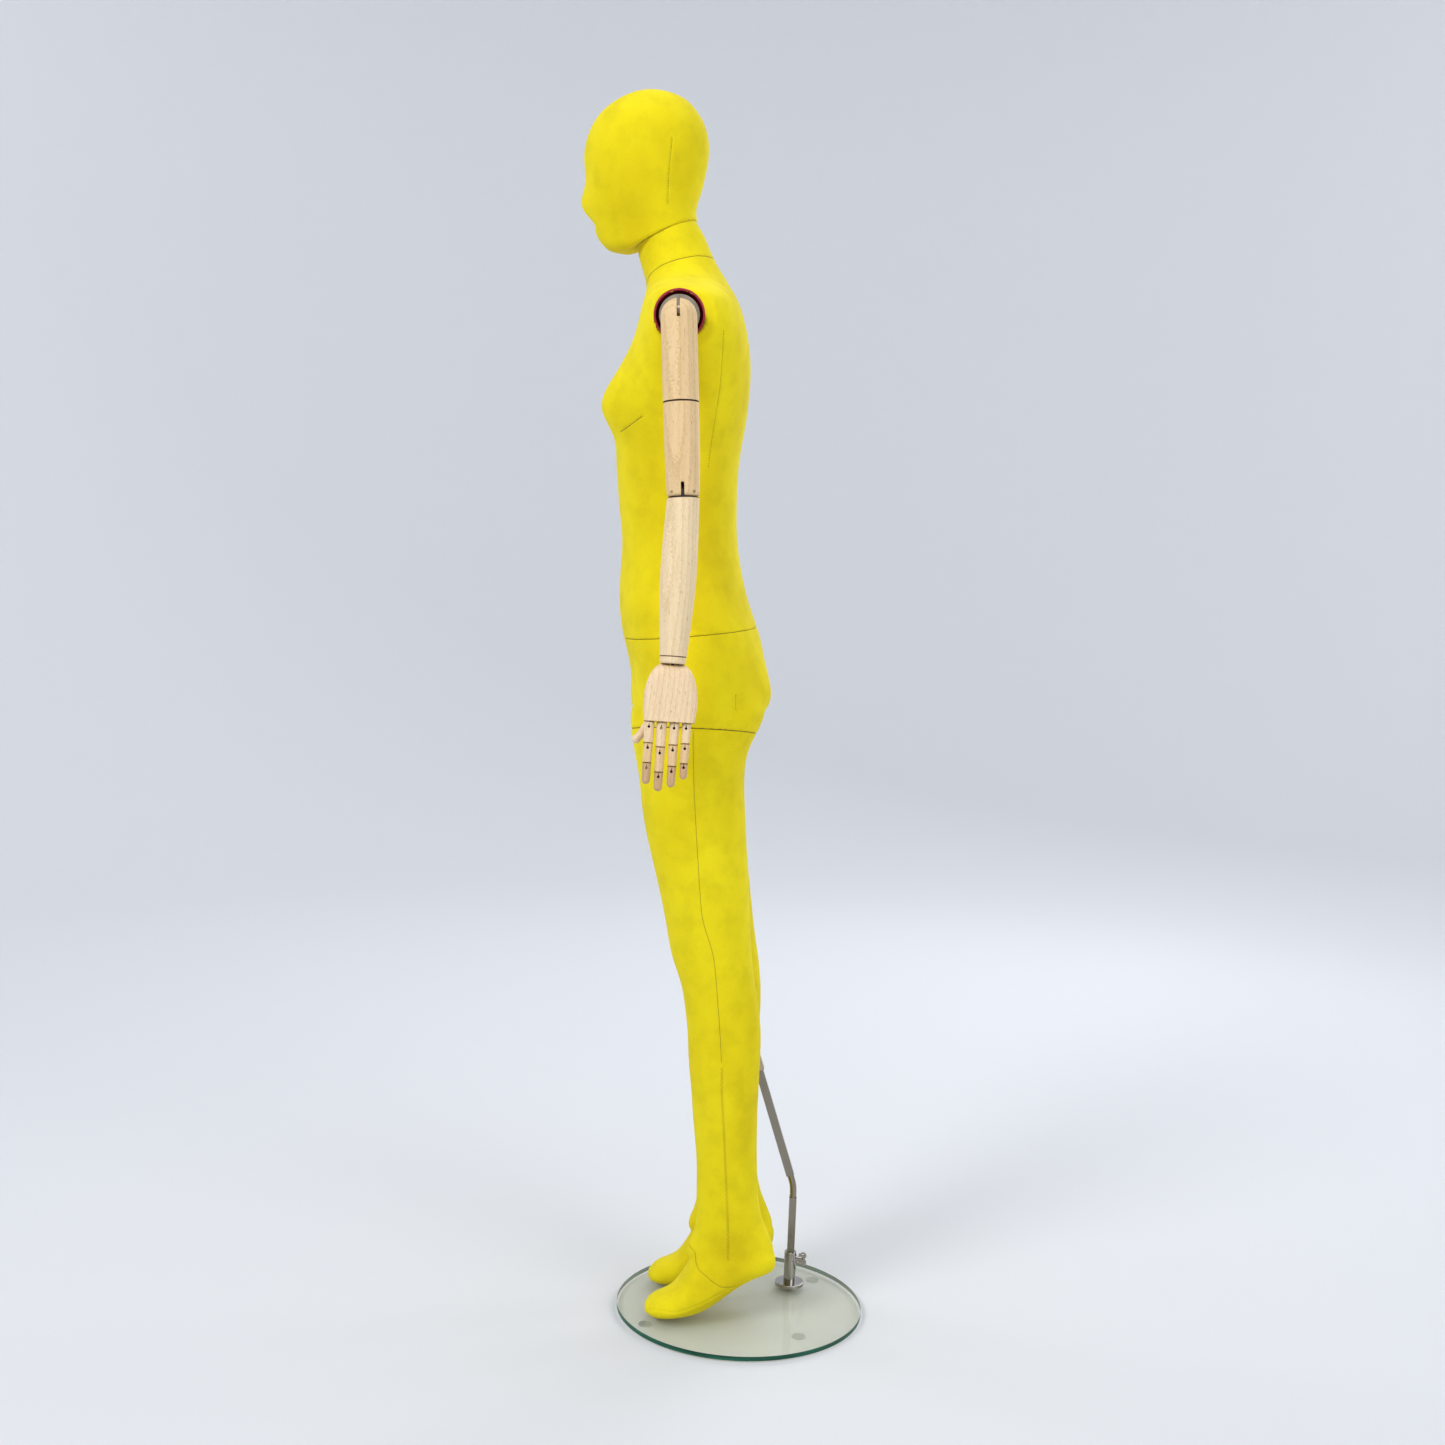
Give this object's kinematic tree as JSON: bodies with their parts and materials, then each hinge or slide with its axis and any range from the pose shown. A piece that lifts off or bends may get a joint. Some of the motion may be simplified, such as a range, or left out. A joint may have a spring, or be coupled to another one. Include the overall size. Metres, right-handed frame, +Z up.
{
  "type": "display mannequin",
  "caption": "Full-size fabric-covered display mannequin with jointed wooden arms and hands, on a calf rod and a round glass base.",
  "frame": {"origin": "on the floor under the middle of the bounding box; X = 0 is the figure's centre plane", "axes": "+Z up, the figure faces -Y, +X to the figure's left"},
  "size_m": [0.5066, 0.4661, 1.749],
  "materials": {
    "glass": "clear, green edge",
    "pad": "soft translucent",
    "chrome": "polished",
    "steel": "zinc plated",
    "fabric": "brushed suede",
    "shell": "moulded",
    "cup_lining": "dark red lining",
    "wood": "sanded beech, clear matt"
  },
  "bodies": {
    "base": {"glass_base": "glass", "base_pads": "pad", "rod_socket": "chrome", "socket_screw": "steel"},
    "wing_screw": {"wing_screw": "chrome"},
    "rod": {"rod_lower_tube": "chrome", "rod_bend": "chrome", "rod_upper_tube": "chrome"},
    "hips": {"hip_shell": "shell", "hip_cover": "fabric", "calf_sleeve": "steel", "hip_joint_pegs": "steel"},
    "left_leg": {"left_leg_shell": "shell", "left_leg_cover": "fabric"},
    "torso": {"torso_shell": "shell", "torso_cover": "fabric", "shoulder_cups": "cup_lining", "neck_peg": "steel"},
    "head": {"head_shell": "shell", "head_cover": "fabric"},
    "left_shoulder": {"left_shoulder_fitting": "steel"},
    "left_upper_arm": {"left_upper_arm": "wood"},
    "left_elbow": {"left_elbow_section": "wood"},
    "left_forearm": {"left_forearm": "wood"},
    "left_wrist": {"left_wrist_ring": "wood"},
    "left_palm": {"left_palm": "wood"},
    "left_index_proximal": {"left_index_proximal": "wood"},
    "left_index_middle": {"left_index_middle": "wood"},
    "left_index_distal": {"left_index_distal": "wood"},
    "left_middle_proximal": {"left_middle_proximal": "wood"},
    "left_middle_middle": {"left_middle_middle": "wood"},
    "left_middle_distal": {"left_middle_distal": "wood"},
    "left_ring_proximal": {"left_ring_proximal": "wood"},
    "left_ring_middle": {"left_ring_middle": "wood"},
    "left_ring_distal": {"left_ring_distal": "wood"},
    "left_little_proximal": {"left_little_proximal": "wood"},
    "left_little_middle": {"left_little_middle": "wood"},
    "left_little_distal": {"left_little_distal": "wood"},
    "left_thumb_base": {"left_thumb_base": "wood"},
    "left_thumb_tip": {"left_thumb_tip": "wood"},
    "right_shoulder": {"right_shoulder_fitting": "steel"},
    "right_upper_arm": {"right_upper_arm": "wood"},
    "right_elbow": {"right_elbow_section": "wood"},
    "right_forearm": {"right_forearm": "wood"},
    "right_wrist": {"right_wrist_ring": "wood"},
    "right_palm": {"right_palm": "wood"},
    "right_index_proximal": {"right_index_proximal": "wood"},
    "right_index_middle": {"right_index_middle": "wood"},
    "right_index_distal": {"right_index_distal": "wood"},
    "right_middle_proximal": {"right_middle_proximal": "wood"},
    "right_middle_middle": {"right_middle_middle": "wood"},
    "right_middle_distal": {"right_middle_distal": "wood"},
    "right_ring_proximal": {"right_ring_proximal": "wood"},
    "right_ring_middle": {"right_ring_middle": "wood"},
    "right_ring_distal": {"right_ring_distal": "wood"},
    "right_little_proximal": {"right_little_proximal": "wood"},
    "right_little_middle": {"right_little_middle": "wood"},
    "right_little_distal": {"right_little_distal": "wood"},
    "right_thumb_base": {"right_thumb_base": "wood"},
    "right_thumb_tip": {"right_thumb_tip": "wood"}
  },
  "joints": [
    {"name": "wing_screw_turn", "type": "hinge", "parent": "base", "child": "wing_screw", "pos_m": [-0.0645, 0.1286, 0.05], "axis": [0, 1, 0], "range_deg": [-170, 170]},
    {"name": "rod_slide", "type": "slide", "parent": "base", "child": "rod", "axis": [0, 0, 1], "range_m": [0, 0.03]},
    {"name": "figure_lift", "type": "slide", "parent": "rod", "child": "hips", "axis": [0, -0.3173, 0.9483], "range_m": [0, 0.09]},
    {"name": "left_leg_twist", "type": "hinge", "parent": "hips", "child": "left_leg", "pos_m": [0.084, -0.046, 0.865], "axis": [-0.165, 0, 0.9863], "range_deg": [-10, 0]},
    {"name": "torso_lift", "type": "slide", "parent": "hips", "child": "torso", "axis": [0, -0.1167, 0.9932], "range_m": [0, 0.04]},
    {"name": "head_turn", "type": "hinge", "parent": "torso", "child": "head", "pos_m": [0, -0.11, 1.556], "axis": [0, -0.4274, 0.9041], "range_deg": [-60, 60]},
    {"name": "left_shoulder_swing", "type": "hinge", "parent": "torso", "child": "left_shoulder", "pos_m": [0.165, -0.085, 1.426], "axis": [-1, 0, 0], "range_deg": [-40, 170]},
    {"name": "left_arm_raise", "type": "hinge", "parent": "left_shoulder", "child": "left_upper_arm", "pos_m": [0.191, -0.085, 1.426], "axis": [0, -0.998, -0.0637], "range_deg": [0, 90]},
    {"name": "left_upper_arm_turn", "type": "hinge", "parent": "left_upper_arm", "child": "left_elbow", "pos_m": [0.20005, -0.07751, 1.30859], "axis": [0.0767, 0.0635, -0.995], "range_deg": [-90, 55]},
    {"name": "left_elbow_bend", "type": "hinge", "parent": "left_elbow", "child": "left_forearm", "pos_m": [0.22402, -0.07013, 1.19282], "axis": [0, -0.998, -0.0637], "range_deg": [0, 80]},
    {"name": "left_wrist_turn", "type": "hinge", "parent": "left_forearm", "child": "left_wrist", "pos_m": [0.23163, -0.07459, 0.97813], "axis": [0.106, -0.0239, -0.9941], "range_deg": [-90, 90]},
    {"name": "left_wrist_bend", "type": "hinge", "parent": "left_wrist", "child": "left_palm", "pos_m": [0.23396, -0.07511, 0.95627], "axis": [0.0067, 0.9997, -0.0233], "range_deg": [-20, 20]},
    {"name": "left_index_knuckle", "type": "hinge", "parent": "left_palm", "child": "left_index_proximal", "pos_m": [0.23508, -0.10202, 0.89667], "axis": [0.0067, 0.9997, -0.0233], "range_deg": [0, 20]},
    {"name": "left_index_middle_joint", "type": "hinge", "parent": "left_index_proximal", "child": "left_index_middle", "pos_m": [0.23851, -0.10269, 0.86889], "axis": [0.0067, 0.9997, -0.0233], "range_deg": [0, 85]},
    {"name": "left_index_tip_joint", "type": "hinge", "parent": "left_index_middle", "child": "left_index_distal", "pos_m": [0.2417, -0.10331, 0.84309], "axis": [0.0067, 0.9997, -0.0233], "range_deg": [0, 60]},
    {"name": "left_middle_knuckle", "type": "hinge", "parent": "left_palm", "child": "left_middle_proximal", "pos_m": [0.23519, -0.08582, 0.8963], "axis": [0.0067, 0.9997, -0.0233], "range_deg": [0, 62]},
    {"name": "left_middle_middle_joint", "type": "hinge", "parent": "left_middle_proximal", "child": "left_middle_middle", "pos_m": [0.23911, -0.0866, 0.86404], "axis": [0.0067, 0.9997, -0.0233], "range_deg": [0, 85]},
    {"name": "left_middle_tip_joint", "type": "hinge", "parent": "left_middle_middle", "child": "left_middle_distal", "pos_m": [0.24304, -0.08739, 0.83128], "axis": [0.0067, 0.9997, -0.0233], "range_deg": [0, 60]},
    {"name": "left_ring_knuckle", "type": "hinge", "parent": "left_palm", "child": "left_ring_proximal", "pos_m": [0.2353, -0.06923, 0.89591], "axis": [0.0067, 0.9997, -0.0233], "range_deg": [0, 62]},
    {"name": "left_ring_middle_joint", "type": "hinge", "parent": "left_ring_proximal", "child": "left_ring_middle", "pos_m": [0.23883, -0.06992, 0.86713], "axis": [0.0067, 0.9997, -0.0233], "range_deg": [0, 85]},
    {"name": "left_ring_tip_joint", "type": "hinge", "parent": "left_ring_middle", "child": "left_ring_distal", "pos_m": [0.24223, -0.07059, 0.83934], "axis": [0.0067, 0.9997, -0.0233], "range_deg": [0, 60]},
    {"name": "left_little_knuckle", "type": "hinge", "parent": "left_palm", "child": "left_little_proximal", "pos_m": [0.2354, -0.05363, 0.89555], "axis": [0.0067, 0.9997, -0.0233], "range_deg": [0, 62]},
    {"name": "left_little_middle_joint", "type": "hinge", "parent": "left_little_proximal", "child": "left_little_middle", "pos_m": [0.23864, -0.05427, 0.86925], "axis": [0.0067, 0.9997, -0.0233], "range_deg": [0, 85]},
    {"name": "left_little_tip_joint", "type": "hinge", "parent": "left_little_middle", "child": "left_little_distal", "pos_m": [0.24179, -0.05489, 0.84344], "axis": [0.0067, 0.9997, -0.0233], "range_deg": [0, 60]},
    {"name": "left_thumb_swing", "type": "hinge", "parent": "left_palm", "child": "left_thumb_base", "pos_m": [0.21732, -0.09155, 0.92495], "axis": [-0.9943, 0.0042, -0.1061], "range_deg": [-10, 30]},
    {"name": "left_thumb_tip_bend", "type": "hinge", "parent": "left_thumb_base", "child": "left_thumb_tip", "pos_m": [0.21701, -0.10063, 0.89914], "axis": [0.0339, 0.9595, -0.2798], "range_deg": [0, 60]},
    {"name": "right_shoulder_swing", "type": "hinge", "parent": "torso", "child": "right_shoulder", "pos_m": [-0.165, -0.085, 1.426], "axis": [-1, 0, 0], "range_deg": [-40, 170]},
    {"name": "right_arm_raise", "type": "hinge", "parent": "right_shoulder", "child": "right_upper_arm", "pos_m": [-0.191, -0.085, 1.426], "axis": [0, 0.998, 0.0637], "range_deg": [0, 90]},
    {"name": "right_upper_arm_turn", "type": "hinge", "parent": "right_upper_arm", "child": "right_elbow", "pos_m": [-0.20005, -0.07751, 1.30859], "axis": [0.0767, -0.0635, 0.995], "range_deg": [-90, 55]},
    {"name": "right_elbow_bend", "type": "hinge", "parent": "right_elbow", "child": "right_forearm", "pos_m": [-0.22402, -0.07013, 1.19282], "axis": [0, 0.998, 0.0637], "range_deg": [0, 80]},
    {"name": "right_wrist_turn", "type": "hinge", "parent": "right_forearm", "child": "right_wrist", "pos_m": [-0.23163, -0.07459, 0.97813], "axis": [0.106, 0.0239, 0.9941], "range_deg": [-90, 90]},
    {"name": "right_wrist_bend", "type": "hinge", "parent": "right_wrist", "child": "right_palm", "pos_m": [-0.23396, -0.07511, 0.95627], "axis": [0.0067, -0.9997, 0.0233], "range_deg": [-20, 20]},
    {"name": "right_index_knuckle", "type": "hinge", "parent": "right_palm", "child": "right_index_proximal", "pos_m": [-0.23508, -0.10202, 0.89667], "axis": [0.0067, -0.9997, 0.0233], "range_deg": [0, 20]},
    {"name": "right_index_middle_joint", "type": "hinge", "parent": "right_index_proximal", "child": "right_index_middle", "pos_m": [-0.23851, -0.10269, 0.86889], "axis": [0.0067, -0.9997, 0.0233], "range_deg": [0, 85]},
    {"name": "right_index_tip_joint", "type": "hinge", "parent": "right_index_middle", "child": "right_index_distal", "pos_m": [-0.2417, -0.10331, 0.84309], "axis": [0.0067, -0.9997, 0.0233], "range_deg": [0, 60]},
    {"name": "right_middle_knuckle", "type": "hinge", "parent": "right_palm", "child": "right_middle_proximal", "pos_m": [-0.23519, -0.08582, 0.8963], "axis": [0.0067, -0.9997, 0.0233], "range_deg": [0, 62]},
    {"name": "right_middle_middle_joint", "type": "hinge", "parent": "right_middle_proximal", "child": "right_middle_middle", "pos_m": [-0.23911, -0.0866, 0.86404], "axis": [0.0067, -0.9997, 0.0233], "range_deg": [0, 85]},
    {"name": "right_middle_tip_joint", "type": "hinge", "parent": "right_middle_middle", "child": "right_middle_distal", "pos_m": [-0.24304, -0.08739, 0.83128], "axis": [0.0067, -0.9997, 0.0233], "range_deg": [0, 60]},
    {"name": "right_ring_knuckle", "type": "hinge", "parent": "right_palm", "child": "right_ring_proximal", "pos_m": [-0.2353, -0.06923, 0.89591], "axis": [0.0067, -0.9997, 0.0233], "range_deg": [0, 62]},
    {"name": "right_ring_middle_joint", "type": "hinge", "parent": "right_ring_proximal", "child": "right_ring_middle", "pos_m": [-0.23883, -0.06992, 0.86713], "axis": [0.0067, -0.9997, 0.0233], "range_deg": [0, 85]},
    {"name": "right_ring_tip_joint", "type": "hinge", "parent": "right_ring_middle", "child": "right_ring_distal", "pos_m": [-0.24223, -0.07059, 0.83934], "axis": [0.0067, -0.9997, 0.0233], "range_deg": [0, 60]},
    {"name": "right_little_knuckle", "type": "hinge", "parent": "right_palm", "child": "right_little_proximal", "pos_m": [-0.2354, -0.05363, 0.89555], "axis": [0.0067, -0.9997, 0.0233], "range_deg": [0, 62]},
    {"name": "right_little_middle_joint", "type": "hinge", "parent": "right_little_proximal", "child": "right_little_middle", "pos_m": [-0.23864, -0.05427, 0.86925], "axis": [0.0067, -0.9997, 0.0233], "range_deg": [0, 85]},
    {"name": "right_little_tip_joint", "type": "hinge", "parent": "right_little_middle", "child": "right_little_distal", "pos_m": [-0.24179, -0.05489, 0.84344], "axis": [0.0067, -0.9997, 0.0233], "range_deg": [0, 60]},
    {"name": "right_thumb_swing", "type": "hinge", "parent": "right_palm", "child": "right_thumb_base", "pos_m": [-0.21732, -0.09155, 0.92495], "axis": [-0.9943, -0.0042, 0.1061], "range_deg": [-10, 30]},
    {"name": "right_thumb_tip_bend", "type": "hinge", "parent": "right_thumb_base", "child": "right_thumb_tip", "pos_m": [-0.21701, -0.10063, 0.89914], "axis": [0.0339, -0.9595, 0.2798], "range_deg": [0, 60]}
  ]
}
